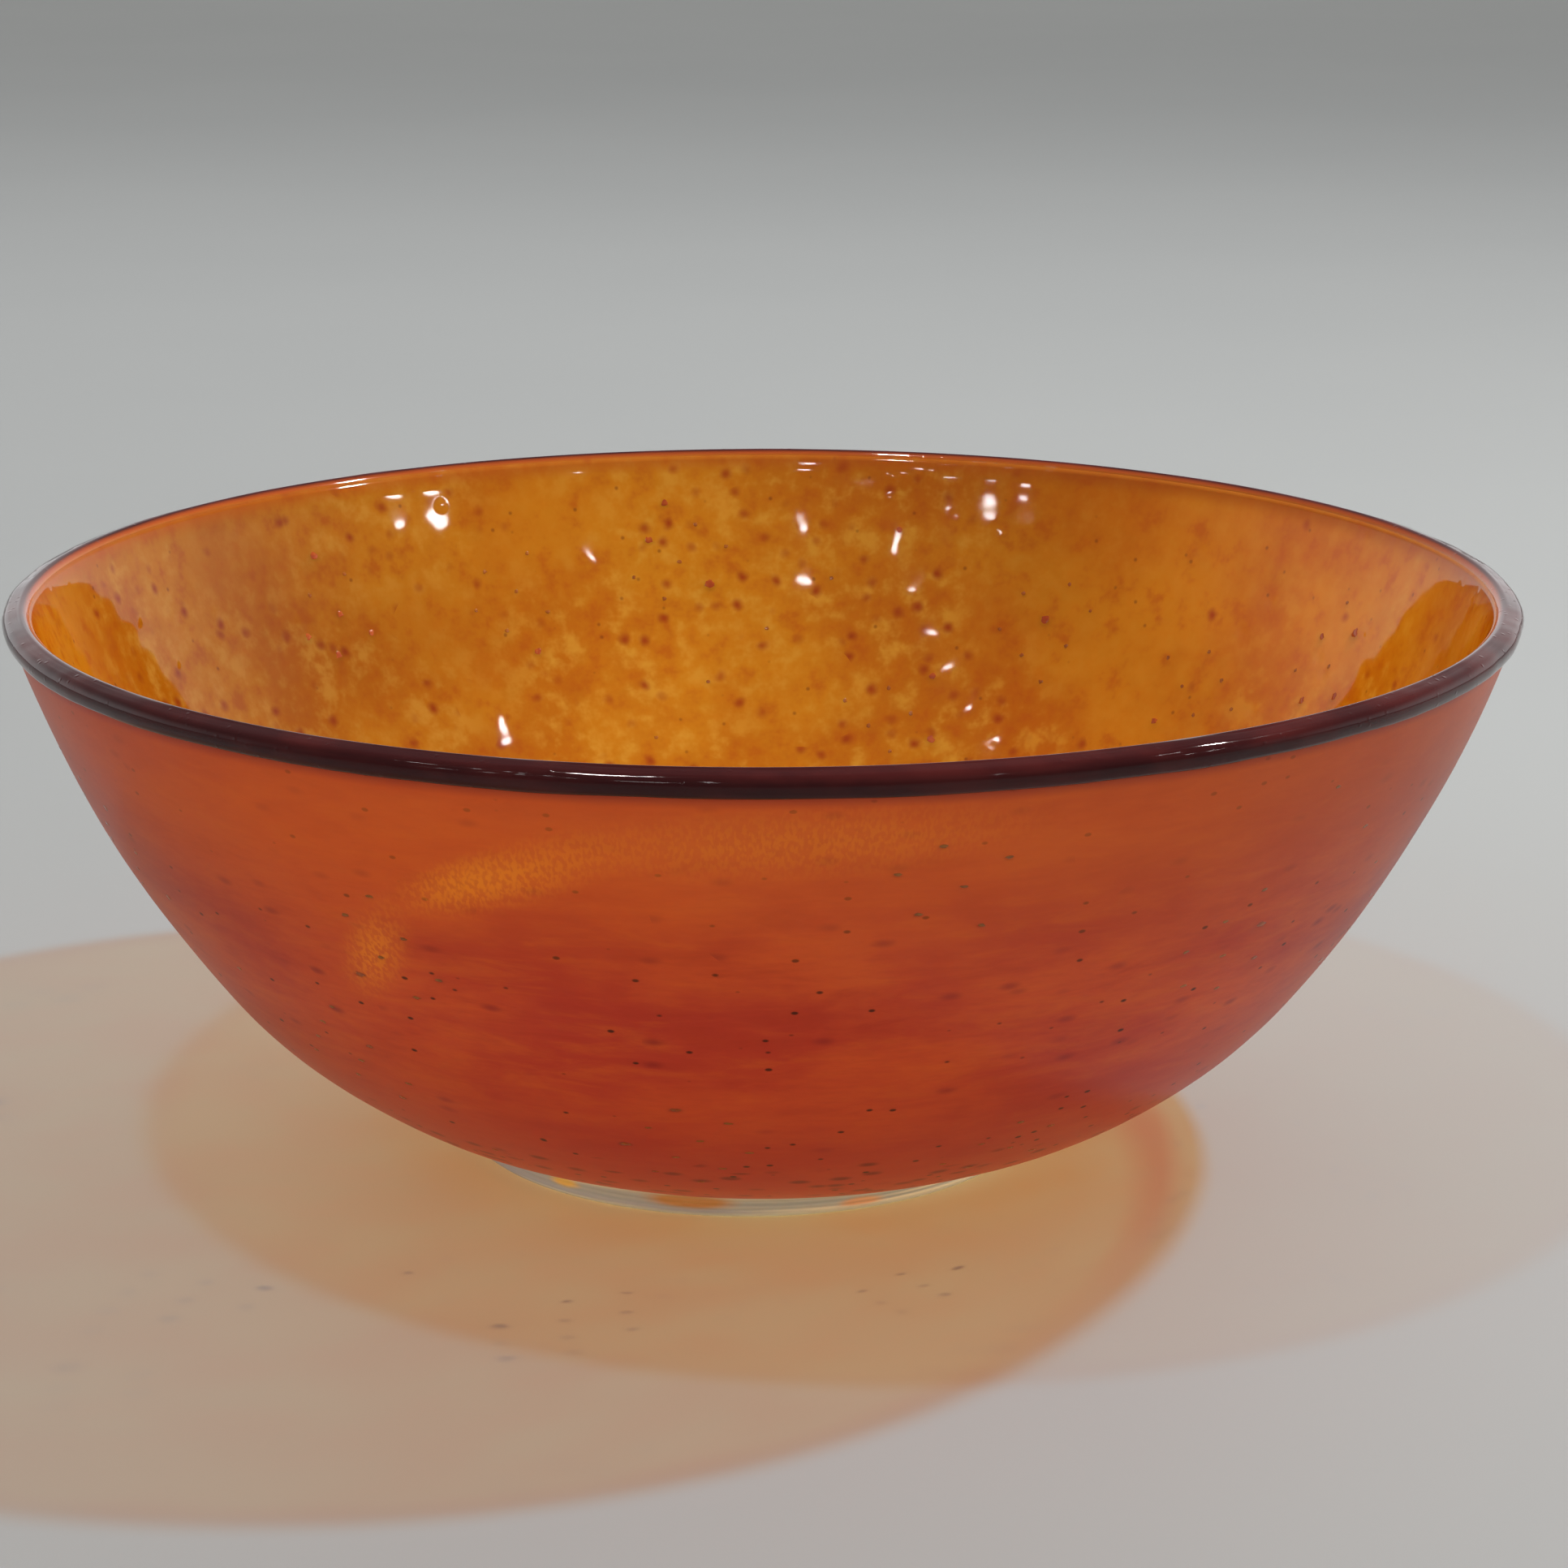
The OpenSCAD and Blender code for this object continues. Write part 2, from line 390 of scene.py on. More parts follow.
def swayed(tree, even):
    """The coordinates, shifted a little all ways, so that round spots on them turn out ragged."""
    shift = add(tree, "TexNoise", Vector=even, Scale=0.5 / (2.2 * MM)).outputs["Color"]
    sway = add(tree, "VectorMath", {"operation": "MULTIPLY_ADD"})
    tree.links.new(shift, sway.inputs[0])
    sway.inputs[1].default_value = (1.6 * MM, 1.6 * MM, 1.6 * MM)
    tree.links.new(even, sway.inputs[2])
    return sway.outputs[0]


def amber_colour(tree, even):
    """Cloudy amber with soft rust spots in drifts and fine brown seeds, with painted shade at the back
    left and painted light at the back right."""
    drift = noise(tree, even, 24 * MM, 2)
    amber = veined_amber(tree, even, drift)
    rust_share = remap(tree, drift, 0.42, 0.60, 0.12, 0.9)
    rust = spots(tree, swayed(tree, even), 4.8 * MM, 1.7 * MM, rust_share, 1.0)
    amber = blend(tree, rust, amber, RUST_SPOT)
    seeds = spots(tree, even, 4.0 * MM, 0.55 * MM, 0.45, 0.8, 0.6)
    amber = blend(tree, seeds, amber, BROWN_SEED)
    # painted shade: darker at the back left
    painted_shade = patch(tree, 150, 62 * MM, (95 * MM, 75 * MM))
    amber = blend(tree, painted_shade, amber, PAINTED_SHADE_BACK_LEFT, "MULTIPLY")
    # painted light: brighter at the back right
    painted_light = patch(tree, 30, 60 * MM, (85 * MM, 80 * MM))
    amber = blend(tree, painted_light, amber, PAINTED_LIGHT_BACK_RIGHT, "MULTIPLY")
    near_lip = remap(tree, above_floor(tree), 86.5 * MM, 89.5 * MM, 0, 0.7)
    return blend(tree, near_lip, amber, NEAR_LIP_ORANGE)


def lining_material():
    """The amber lining, bright and glossy, with shallow dents as frit leaves them."""
    material, tree, out = new_material("amber_lining")
    even = stretched(tree, 1, 1, 1)
    amber = amber_colour(tree, even)
    pits = spots(tree, even, 6 * MM, 1.9 * MM, 0.35, 1.0)
    dents = bump(tree, pits, 0.05 * MM)
    glass = add(tree, "BsdfPrincipled", Base_Color=amber, Roughness=0.045, IOR=1.5, Normal=dents)
    shader = glow_through(tree, glass.outputs[0], amber, 0.4)
    tree.links.new(lit_through(tree, shader, wall_tint(tree, even)), out.inputs[0])
    return material


def interface_material():
    """The faces melted against the colour layer: never seen, and clear to the lamps' light."""
    material, tree, out = new_material("melted_interface")
    clouds = noise(tree, stretched(tree, 1, 1, 1), 5 * MM, 3)
    orange = blend(tree, clouds, (0.45, 0.10, 0.01), (0.60, 0.22, 0.02))
    glass = add(tree, "BsdfPrincipled", Base_Color=orange, Roughness=0.4, IOR=1.5)
    tree.links.new(lit_through(tree, glass.outputs[0], (1, 1, 1)), out.inputs[0])
    return material


def colour_material():
    """The powder colour itself, mottled."""
    material, tree, out = new_material("melted_powder_colour")
    even = stretched(tree, 1, 1, 1)
    orange = blend(tree, noise(tree, even, 9 * MM, 4), (0.45, 0.10, 0.01), (0.65, 0.25, 0.02))
    orange = blend(tree, spots(tree, even, 7 * MM, 2 * MM, 0.4, 0.9), orange, (0.33, 0.04, 0.01))
    grain = bump(tree, noise(tree, even, 0.8 * MM, 2), 0.05 * MM)
    glass = add(tree, "BsdfPrincipled", Base_Color=orange, Roughness=0.45, IOR=1.5, Normal=grain)
    tree.links.new(glass.outputs[0], out.inputs[0])
    return material


def frit_material(name, dark, light, roughness):
    """Frit of a colour between two, mottled inside each crumb."""
    material, tree, out = new_material(name)
    mottle = noise(tree, stretched(tree, 1, 1, 1), 0.7 * MM, 2)
    colour = blend(tree, remap(tree, mottle, 0.35, 0.7), dark, light)
    glass = add(tree, "BsdfPrincipled", Base_Color=colour, Roughness=roughness, IOR=1.5)
    tree.links.new(glass.outputs[0], out.inputs[0])
    return material


def wrap_relief(tree, even, out_and_up):
    """Fine tool lines that run round the lip, and shallow pits. The lines are noise that changes
    quickly out and up across the lip and slowly along it."""
    level = add(tree, "CombineXYZ", Z=out_and_up).outputs[0]
    across = add(tree, "VectorMath", {"operation": "MULTIPLY_ADD"})
    tree.links.new(level, across.inputs[0])
    across.inputs[1].default_value = (0, 0, 24)
    tree.links.new(even, across.inputs[2])
    lines = noise(tree, across.outputs[0], 16 * MM, 1)
    pits = spots(tree, even, 1.5 * MM, 0.5 * MM, 0.4, 1.0)
    return bump(tree, lines, 0.05 * MM, bump(tree, pits, 0.035 * MM))


NEAR_BLACK = (0.042, 0.0050, 0.0055)
AUBERGINE = (0.078, 0.010, 0.009)
WRAP_EDGE_RED = (0.40, 0.075, 0.015)


def wrap_material():
    """Aubergine thread of glass, near black over the top and outside of the lip. It thins out on the
    inside, where the amber of the wall shows through it."""
    material, tree, out = new_material("aubergine_wrap")
    even = stretched(tree, 1, 1, 1)
    body = noise(tree, stretched(tree, 1, 1, 3), 7 * MM, 4)
    dark = blend(tree, remap(tree, body, 0.35, 0.7), NEAR_BLACK, AUBERGINE)
    wobble = maths(tree, "MULTIPLY", noise(tree, even, 9 * MM, 3), 0.6 * MM)
    out_and_up = maths(tree, "ADD", maths(tree, "MULTIPLY", from_axis(tree), 2.0), above_floor(tree))
    over = maths(tree, "ADD", out_and_up, wobble)
    inner_end = 2 * WRAP_INSIDE_R + TOP_Z
    thin = remap(tree, over, inner_end - 1.3 * MM, inner_end + 0.7 * MM)
    colour = blend(tree, thin, amber_colour(tree, even), WRAP_EDGE_RED)
    full = remap(tree, over, inner_end + 0.2 * MM, inner_end + 2.4 * MM)
    colour = blend(tree, full, colour, dark)
    relief = wrap_relief(tree, even, out_and_up)
    glass = add(tree, "BsdfPrincipled", Base_Color=colour, Roughness=0.06, IOR=1.5, Normal=relief,
                Specular_IOR_Level=0.27)
    tree.links.new(lit_through(tree, glass.outputs[0], (0.97, 0.82, 0.72)), out.inputs[0])
    return material


PAINTED_REFLECTION_BLUE_GREY = (0.44, 0.58, 0.80)
PAINTED_REFLECTION_PALE = (0.84, 0.97, 1.0)

# Painted gleams, light the foot's side would gather of one colour: azimuth, height, radii, colour.
PAINTED_FOOT_GLEAMS = ((-104, 2.5 * MM, (11 * MM, 1.9 * MM), (0.64, 0.30, 0.05)),
               (-130, 2.3 * MM, (5 * MM, 1.4 * MM), (1.0, 0.72, 0.14)),
               (-71, 1.5 * MM, (6 * MM, 1.3 * MM), (0.88, 0.50, 0.32)),
               (20, 2.4 * MM, (14 * MM, 1.8 * MM), (0.70, 0.38, 0.08)),
               (120, 2.2 * MM, (18 * MM, 1.8 * MM), (0.66, 0.34, 0.06)))


def foot_material():
    """Clear glass with painted reflections in level bands of grey-blue and pale, and painted amber and
    pink gleams.
    """
    material, tree, out = new_material("clear_foot_glass")
    bands = noise(tree, stretched(tree, 1, 1, 40), 34 * MM, 2, 0.5)
    # painted reflections: level bands of grey-blue and pale in the base colour
    clear = blend(tree, remap(tree, bands, 0.40, 0.58), PAINTED_REFLECTION_BLUE_GREY, PAINTED_REFLECTION_PALE)
    between = remap(tree, bands, 0.62, 0.48, 0.35, 1)
    for azimuth, height, radii, painted_gleam_colour in PAINTED_FOOT_GLEAMS:
        # painted gleams of light gathered by the glass
        painted_gleam = patch(tree, azimuth, height, radii, out=FOOT_R)
        painted_gleam = maths(tree, "MULTIPLY", remap(tree, painted_gleam, 0.05, 0.7, 0, 0.9), between)
        clear = blend(tree, painted_gleam, clear, painted_gleam_colour)
    cords = noise(tree, stretched(tree, 1, 1, 12), 6 * MM, 2)
    relief = bump(tree, cords, 0.10 * MM)
    glass = add(tree, "BsdfPrincipled", Base_Color=clear, Roughness=0.03, IOR=1.5,
                Transmission_Weight=0.15, Normal=relief)
    tree.links.new(lit_through(tree, glass.outputs[0], (0.93, 0.95, 0.95)), out.inputs[0])
    return material


def floor_material():
    """Pale table top, matt, with the faint unevenness of painted board."""
    material, tree, out = new_material("pale_table")
    wide = noise(tree, stretched(tree, 1, 1, 1), 120 * MM, 3)
    pale = blend(tree, wide, (0.322, 0.333, 0.334), (0.346, 0.356, 0.355))
    paint = add(tree, "BsdfPrincipled", Base_Color=pale, Roughness=0.6)
    tree.links.new(paint.outputs[0], out.inputs[0])
    return material


# ---------------------------------------------------------------- meshes
def waves(points, length, height, seed, count=28):
    """A smooth random field at some points: many sine waves of about one length, all ways round."""
    rng = np.random.default_rng(seed)
    ways = rng.normal(size=(count, 3))
    ways /= np.linalg.norm(ways, axis=1)[:, None]
    lengths = length * rng.uniform(0.75, 1.4, count)
    phases = rng.uniform(0, 2 * math.pi, count)
    field = np.sin(points @ (ways * (2 * math.pi / lengths)[:, None]).T + phases).sum(1)
    return height * field / math.sqrt(count / 2)


ON_AXIS = 1e-9              # a radius below this is one vertex on the axis, and not a ring


def lathe(name, profile, around, closed=False):
    """Turns a profile of (radius, height) round the axis into a mesh with its normals outwards.
    A closed profile joins its last ring to its first."""
    turn = np.linspace(0, 2 * math.pi, around, endpoint=False)
    ring = np.stack([np.cos(turn), np.sin(turn)], 1)
    vertices, starts = [], []
    for r, z in profile:
        starts.append(sum(len(v) for v in vertices))
        if r < ON_AXIS:
            vertices.append(np.array([[0, 0, z]]))
        else:
            vertices.append(np.column_stack([ring * r, np.full(around, z)]))
    count = len(profile)
    faces = []
    for k in range(count if closed else count - 1):
        a, b = starts[k], starts[(k + 1) % count]
        single_a = profile[k][0] < ON_AXIS
        single_b = profile[(k + 1) % count][0] < ON_AXIS
        for i in range(around):
            j = (i + 1) % around
            if single_a:
                faces.append((a, b + j, b + i))
            elif single_b:
                faces.append((a + i, a + j, b))
            else:
                faces.append((a + i, a + j, b + j, b + i))
    mesh = bpy.data.meshes.new(name)
    mesh.from_pydata(np.concatenate(vertices).tolist(), [], faces)
    mesh.shade_smooth()
    piece = bpy.data.objects.new(name, mesh)
    bpy.context.scene.collection.objects.link(piece)
    return piece


def coordinates(piece):
    flat = np.zeros(len(piece.data.vertices) * 3)
    piece.data.vertices.foreach_get("co", flat)
    return flat.reshape(-1, 3)


def set_coordinates(piece, points):
    piece.data.vertices.foreach_set("co", points.reshape(-1))
    piece.data.update()


def push(piece, field):
    """Moves each vertex along its normal by the field's value there."""
    flat = np.zeros(len(piece.data.vertices) * 3)
    piece.data.vertices.foreach_get("normal", flat)
    set_coordinates(piece, coordinates(piece) + flat.reshape(-1, 3) * field[:, None])


def adopt(piece, node, slot, *materials):
    """The piece stands for a CAD node, which it hides, rides on the one body and takes the materials
    given.
    The slot is not used.
    """
    for material in materials:
        piece.data.materials.append(material)
    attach(piece, "root")
    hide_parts(node)


FLARE = 0.35 * MM           # how much thinner the wall is at the wrap's middle, taken off its inside
FLARE_LENGTH = 4 * MM       # the length of wall below there over which it thins
SEAM_Z = 90.46 * MM         # how high the inside runs, into the wrap, before it is flared
SEAM_RISE = 0.82 * MM       # how far that is above the wrap's middle, along the wall


def flare(points):
    """How far the inside curves outwards under the lip."""
    up = (points[:, 2] - SEAM_Z) / math.sin(LIP_SLOPE) + SEAM_RISE
    return FLARE * np.clip(1 + up / FLARE_LENGTH, 0, None) ** 3


def uneven(surface, points):
    """How far a surface of the wall stands out from its true curve, hand-made as it is."""
    if surface is OUTSIDE:
        return waves(points, 38 * MM, 0.07 * MM, seed=11) + waves(points, 12 * MM, 0.008 * MM, seed=12)
    below_lip = np.clip((SEAM_Z - points[:, 2]) / (14 * MM), 0, 1)
    ripple = waves(points, 6.5 * MM, 0.014 * MM, seed=21) + waves(points, 36 * MM, 0.04 * MM, seed=22)
    return below_lip * ripple - flare(points)


WALL_AROUND = 600
WALL_STEP = 1.3 * MM
WRAP_AROUND = 900
FOOT_AROUND = 480


def shell(name, outer, inner, inner_top):
    """A closed shell between two surfaces, which both end inside the lip wrap."""
    up = outer.profile(WRAP_CENTRE[1], WALL_STEP)
    up[:, 1] = np.maximum(up[:, 1], UNDERSIDE_Z)
    down = inner.profile(inner_top, WALL_STEP)[::-1]
    return lathe(name, np.concatenate([up, down]), WALL_AROUND)


def paint_faces(piece, where, index):
    """Gives the faces whose centre passes a test the material with that index."""
    centres = np.zeros(len(piece.data.polygons) * 3)
    piece.data.polygons.foreach_get("center", centres)
    chosen = where(centres.reshape(-1, 3))
    piece.data.polygons.foreach_set("material_index", np.where(chosen, index, 0).astype(np.int32))


def is_below(surface, points):
    """True for points that lie outside or under a surface."""
    r = np.hypot(points[:, 0], points[:, 1])
    return (r > surface.radius(points[:, 2])) | (points[:, 2] < surface.floor_z)


def make_casing(interface):
    """The outer gather. Its outside is uneven, but not its underside, which is fused to the foot."""
    casing = shell("outer_casing_glass", OUTSIDE, BETWEEN, WRAP_CENTRE[1])
    adopt(casing, "outer_casing", "outer_casing", casing_material(), interface)
    middle = Surface(CASING_T / 2, (UNDERSIDE_Z + CASING_FLOOR_Z) / 2)
    paint_faces(casing, lambda c: ~is_below(middle, c), 1)
    points = coordinates(casing)
    outside = is_below(middle, points) & (points[:, 2] > UNDERSIDE_Z + 2 * MM)
    push(casing, outside * uneven(OUTSIDE, points))


def make_lining(interface):
    """The inner gather, uneven on its inside and flared into the lip wrap."""
    lining = shell("inner_lining_glass", BETWEEN, INSIDE, SEAM_Z)
    adopt(lining, "inner_lining", "inner_lining", lining_material(), interface)
    middle = Surface((CASING_T + WALL_T) / 2, (CASING_FLOOR_Z + INSIDE_FLOOR_Z) / 2)
    paint_faces(lining, lambda c: is_below(middle, c), 1)
    points = coordinates(lining)
    push(lining, ~is_below(middle, points) * uneven(INSIDE, points))


def make_wrap():
    """The lip wrap: a flattened bead round the edge of the wall, uneven as a hand-wound thread is.
    Its inner end is a half ellipse that the flared inside runs into without a step, and its outer
    end is a half circle, fuller and squarer in its lower half."""
    half = WRAP_T / 2
    arc = np.linspace(-math.pi / 2, math.pi / 2, 22)
    fuller = np.where(arc < 0, 0.64, 1.0)
    outer_end = np.stack([WRAP_REACH + half * np.cos(arc).clip(0) ** fuller,
                          half * np.sign(np.sin(arc)) * np.abs(np.sin(arc)) ** fuller], 1)
    inner_middle = -0.29 * MM
    inner_reach = 1.69 * MM
    inner_end = np.stack([inner_middle - inner_reach * np.cos(arc), -half * np.sin(arc)], 1)
    section = np.concatenate([outer_end, inner_end])
    tilt = math.pi / 2 - LIP_SLOPE
    turned = section @ np.array([[math.cos(tilt), -math.sin(tilt)], [math.sin(tilt), math.cos(tilt)]])
    wrap = lathe("lip_wrap_glass", turned + WRAP_CENTRE, WRAP_AROUND, closed=True)
    points = coordinates(wrap)
    on_outside = np.hypot(points[:, 0], points[:, 1]) > WRAP_CENTRE[0]
    rough = waves(points, 22 * MM, 0.06 * MM, seed=31) + waves(points, 5 * MM, 0.008 * MM, seed=32)
    sunk = 0.09 * MM                # so that the waves stay inside the CAD's outline
    push(wrap, on_outside * (rough - sunk))
    adopt(wrap, "lip_wrap", "lip_wrap", wrap_material())


def dress_colour_layer():
    """The colour layer keeps its CAD mesh. The wall's tint stands for its shadow, so it casts none."""
    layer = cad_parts["colour_layer"]
    layer.data.materials.clear()
    layer.data.materials.append(colour_material())
    layer.visible_shadow = False


def make_foot():
    """The clear foot: a disc with a melted edge and a ground hollow, fused up into the bowl."""
    dome_r = (HOLLOW_R ** 2 + HOLLOW_DEPTH ** 2) / (2 * HOLLOW_DEPTH)
    dome = [(r, HOLLOW_DEPTH - dome_r + math.sqrt(dome_r ** 2 - r ** 2))
            for r in np.linspace(0, HOLLOW_R, 24)]
    ground = [(r, 0.03 * MM) for r in np.linspace(HOLLOW_R + 0.4 * MM, FOOT_R - FOOT_EDGE_R, 8)]
    edge = [(FOOT_R - FOOT_EDGE_R + FOOT_EDGE_R * math.sin(a), FOOT_EDGE_R - FOOT_EDGE_R * math.cos(a))
            for a in np.linspace(0.2, math.pi / 2, 7)]
    # In the next two, the height over FOOT_EDGE_R is a share of the way up to the bowl, 1 at most.
    waist = 0.12 * MM
    rise = [(FOOT_R - waist * math.sin(2 * math.pi * k / 7) ** 2, FOOT_EDGE_R + k / 14)
            for k in range(1, 15)]
    cover = [(r, 2) for r in np.linspace(FOOT_R, 0, 30)]
    foot = lathe("clear_foot_glass", np.array(dome + ground + edge + rise + cover), FOOT_AROUND)
    points = coordinates(foot)
    points[:, 0] += FOOT_X
    r = np.hypot(points[:, 0], points[:, 1])
    under = OUTSIDE.height(r)
    top = np.where(under > UNDERSIDE_Z, under + 0.04 * MM, UNDERSIDE_Z - 0.06 * MM)
    share = np.clip(points[:, 2] - FOOT_EDGE_R, 0, 1)
    points[:, 2] = np.where(share > 0, FOOT_EDGE_R + share * (top - FOOT_EDGE_R), points[:, 2])
    set_coordinates(foot, points)
    adopt(foot, "clear_foot", "clear_foot", foot_material())


def islands(node):
    """The middle and the half width of each separate solid of a CAD node."""
    mesh = bmesh.new()
    mesh.from_mesh(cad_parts[node].data)
    bmesh.ops.remove_doubles(mesh, verts=mesh.verts, dist=0.001 * MM)
    left, found = set(mesh.verts), []
    while left:
        todo, members = [left.pop()], []
        while todo:
            vertex = todo.pop()
            members.append(vertex.co.copy())
            for edge in vertex.link_edges:
                other = edge.other_vert(vertex)
                if other in left:
                    left.remove(other)
                    todo.append(other)
        spread = np.array(members)
        middle = spread.mean(0)
        found.append((middle, np.linalg.norm(spread - middle, axis=1).max()))
    mesh.free()
    return sorted(found, key=lambda f: tuple(f[0]))


def wall_frame(place, surface):
    """Where a surface lies nearest a place in the wall, its way out of the glass, and its level way."""
    r, z = math.hypot(place[0], place[1]), place[2]
    centre = WALL_CENTRE if z > surface.joint[1] else surface.belly_centre
    radius = surface.wall_r if z > surface.joint[1] else surface.belly_r
    away = np.array([r, z]) - centre
    away /= np.linalg.norm(away)
    at = centre + radius * away
    east = np.array([place[0], place[1]]) / r
    out = np.array([away[0] * east[0], away[0] * east[1], away[1]])
    point = np.array([at[0] * east[0], at[0] * east[1], at[1]])
    level = np.array([-east[1], east[0], 0])
    return point, out, level


def crumbs(name, places, rings=6, around=12):
    """One mesh of many rounded crumbs. Each place is (point, way out, level way, half sizes)."""
    vertices, faces = [], []
    rng = np.random.default_rng(5)
    for point, out, level, (wide, tall, proud) in places:
        start = len(vertices)
        up = np.cross(out, level)
        lumps = 1 + 0.16 * rng.normal(size=around)
        vertices.append(point + out * proud)
        for k in range(1, rings):
            bend = math.pi * k / rings
            for i in range(around):
                turn = 2 * math.pi * i / around
                side = math.sin(bend) * lumps[i]
                vertices.append(point + level * wide * side * math.cos(turn)
                                + up * tall * side * math.sin(turn) + out * proud * math.cos(bend))
        vertices.append(point - out * proud)
        last = len(vertices) - 1
        for i in range(around):
            j = (i + 1) % around
            faces.append((start, start + 1 + i, start + 1 + j))
            faces.append((last, last - around + j, last - around + i))
            for k in range(rings - 2):
                a = start + 1 + k * around
                faces.append((a + i, a + around + i, a + around + j, a + j))
    mesh = bpy.data.meshes.new(name)
    mesh.from_pydata([tuple(v) for v in vertices], [], faces)
    mesh.shade_smooth()
    piece = bpy.data.objects.new(name, mesh)
    bpy.context.scene.collection.objects.link(piece)
    return piece


def lodge(middle, sizes, depth):
    """The place of a crumb that shows in the lining at the back and in the casing at the front."""
    surface, sign = (INSIDE, -1) if middle[1] > 0 else (OUTSIDE, 1)
    point, out, level = wall_frame(middle, surface)
    way = sign * out
    lift = uneven(surface, point[None, :])[0] - depth
    return point + way * lift, way, level, sizes


# How thick half a crumb is and how deep its middle lies, for the red chips and the dark grains.
CHIP_HALF_THICK = 0.24 * MM
CHIP_SUNK = 0.17 * MM
GRAIN_HALF_THICK = 0.14 * MM
GRAIN_SUNK = 0.09 * MM


def make_chips():
    """Red frit, sunk in the glass so that only the crown of each chip stands in the surface."""
    places = []
    for middle, size in islands("red_frit_chips"):
        tall = size * (0.95 if middle[1] > 0 else 0.5)
        sizes = (size * 1.1, tall * 1.1, CHIP_HALF_THICK)
        places.append(lodge(middle, sizes, CHIP_SUNK))
    chips = crumbs("red_frit_chips_melted", places)
    adopt(chips, "red_frit_chips", "red_frit",
          frit_material("red_frit", (0.38, 0.062, 0.010), (0.50, 0.105, 0.012), 0.10))


def make_grains():
    """Dark grains, round in the lining and drawn out level in the casing."""
    places = []
    for middle, size in islands("dark_frit_grains"):
        wide, tall = (1.0, 1.0) if middle[1] > 0 else (1.5, 0.7)
        sizes = (size * wide, size * tall, GRAIN_HALF_THICK)
        places.append(lodge(middle, sizes, GRAIN_SUNK))
    grains = crumbs("dark_frit_grains_melted", places, 5, 10)
    adopt(grains, "dark_frit_grains", "dark_frit",
          frit_material("dark_frit", (0.32, 0.090, 0.010), (0.44, 0.140, 0.014), 0.12))


# ---------------------------------------------------------------- camera, floor and light
EYE = (0, -598.7 * MM, 219.6 * MM)
LOOKING_DOWN = math.radians(15.22)
TURNED_RIGHT = math.radians(0.317)


def make_camera():
    """The viewpoint: in front and above the rim, looking down and a touch to the right."""
    camera = bpy.data.cameras.new("camera")
    camera.sensor_width = 36
    camera.lens = 87.58
    view = bpy.data.objects.new("camera", camera)
    view.location = EYE
    view.rotation_euler = (math.pi / 2 - LOOKING_DOWN, 0, -TURNED_RIGHT)
    bpy.context.scene.collection.objects.link(view)
    bpy.context.scene.camera = view


def make_floor():
    bpy.ops.mesh.primitive_plane_add(size=14)
    floor = bpy.context.object
    floor.name = "floor"
    floor.data.materials.append(floor_material())


MIDDLE = Vector((0, 0, 50 * MM))        # the bowl's middle, that the lamps face


def towards(azimuth, elevation, distance):
    """A place seen from the bowl's middle. Azimuth is from +X towards +Y, both angles in degrees."""
    a, e = math.radians(azimuth), math.radians(elevation)
    way = Vector((math.cos(e) * math.cos(a), math.cos(e) * math.sin(a), math.sin(e)))
    return MIDDLE + distance * way


def lamp(name, place, size, power, colour=(1, 1, 1), flat=1.0):
    """A lamp that faces the bowl: round, size metres wide and flat times as high, of power watts."""
    data = bpy.data.lights.new(name, "AREA")
    data.shape = "ELLIPSE"
    data.size = size
    data.size_y = size * flat
    data.energy = power
    data.color = colour
    light = bpy.data.objects.new(name, data)
    light.location = place
    light.rotation_euler = (MIDDLE - place).to_track_quat("-Z", "Y").to_euler()
    light.visible_camera = False
    bpy.context.scene.collection.objects.link(light)
    return light


def strip(name, y, z, wide, deep, power, colour=(1, 1, 1)):
    """A long lamp over the floor, which lights it there and isn't seen in the glass."""
    data = bpy.data.lights.new(name, "AREA")
    data.shape = "RECTANGLE"
    data.size = wide
    data.size_y = deep
    data.energy = power
    data.color = colour
    light = bpy.data.objects.new(name, data)
    light.location = (0, y, z)
    light.visible_camera = False
    light.visible_glossy = False
    bpy.context.scene.collection.objects.link(light)


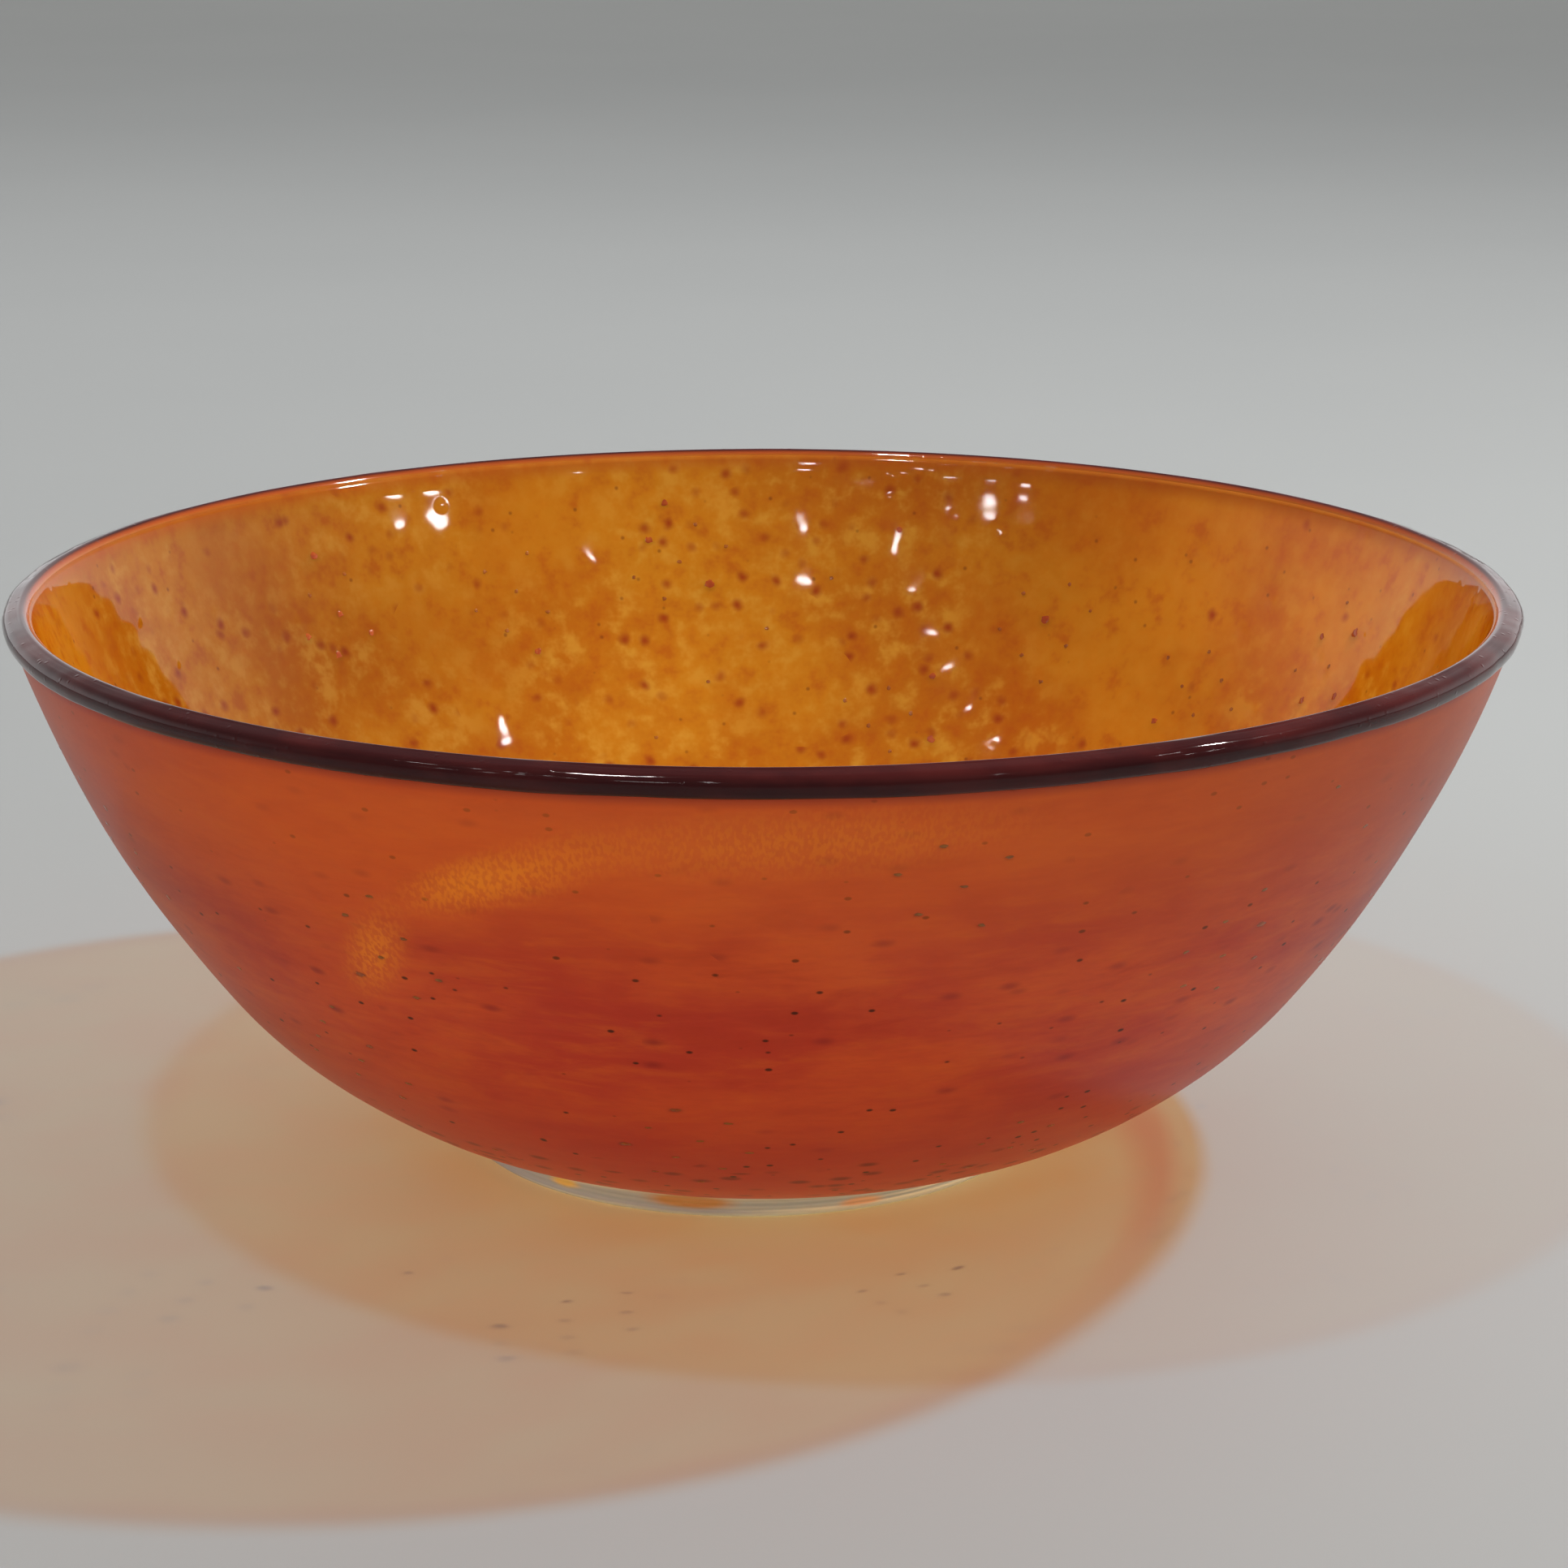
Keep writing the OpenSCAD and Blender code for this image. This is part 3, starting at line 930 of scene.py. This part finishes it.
# Small flattened ceiling spots make the white glints in the bowl. They hang in straight rows, each
# with the (x, y) of its first and last spot, how many it has, how wide each one is and how flat.
CEILING_Z = 2.05
SPOT_ROWS = (((-2.02, -2.85), (-3.06, -2.61), 3, 0.15, 0.3),
             ((-1.35, -2.73), (-1.37, -1.75), 3, 0.09, 0.5),
             ((-1.40, -1.41), (-1.56, -0.75), 3, 0.08, 0.5),
             ((-0.42, -2.99), (-0.38, -2.41), 2, 0.12, 0.5),
             ((-1.07, -3.78), (-1.22, -3.66), 2, 0.20, 0.3),
             ((4.30, -1.55), (3.84, -1.96), 2, 0.26, 0.3),
             ((1.72, -2.39), (1.82, -0.63), 2, 0.08, 0.6))
SPOT_WATTS = 125            # for a round spot a metre wide


def make_lights():
    """A near key on the right, one high on the left, ceiling spots, washes over the floor and a soft
    grey room."""
    lamp("key_right", towards(18, 53, 1.15), 0.06, 11, (1.0, 0.985, 0.96))
    lamp("key_above", towards(214, 75, 2.6), 0.16, 16.5, (1.0, 0.975, 0.94))
    lamp("fill_left", towards(232, 48, 2.2), 1.4, 2.0).visible_glossy = False
    for first, last, count, size, flat in SPOT_ROWS:
        for step in np.linspace(0, 1, count):
            place = Vector((*first, CEILING_Z)).lerp(Vector((*last, CEILING_Z)), step)
            lamp("ceiling_spot", place, size, SPOT_WATTS * flat * size ** 2, flat=flat)
    strip("near_wash", 1.0, 0.8, 3, 0.5, 6.5)
    strip("far_wash", 3.3, 1.9, 6, 2, 31, (1.0, 0.975, 0.90))
    strip("front_wash", -4.6, 1.9, 6, 2, 20)
    bpy.context.scene.world = studio_world()


DARK_WALL = (0.17, 0.17, 0.18)
PALE_WALL = (0.95, 0.96, 0.97)
OVERHEAD = (0.20, 0.203, 0.208)


def studio_world():
    """Soft light all round: pale walls low down at the back, darker overhead and in front."""
    world = bpy.data.worlds.new("studio")
    world.use_nodes = True
    tree = world.node_tree
    way = add(tree, "SeparateXYZ", Vector=add(tree, "TexCoord").outputs["Generated"])
    walls = blend(tree, remap(tree, way.outputs[1], -0.5, 0.3), DARK_WALL, PALE_WALL)
    sky = blend(tree, remap(tree, way.outputs[2], 0.12, 0.55), walls, OVERHEAD)
    background = tree.nodes["Background"]
    background.inputs["Strength"].default_value = 1.0
    tree.links.new(sky, background.inputs["Color"])
    return world


def render_options():
    """Plain display colours, enough layers of clear glass for a lamp's ray, and no stray bright dots."""
    scene = bpy.context.scene
    scene.view_settings.view_transform = "Standard"
    scene.cycles.transparent_max_bounces = 32
    scene.cycles.sample_clamp_indirect = 4


make_camera()
make_floor()
make_lights()
render_options()
melted = interface_material()
make_casing(melted)
make_lining(melted)
dress_colour_layer()
make_chips()
make_grains()
make_wrap()
make_foot()
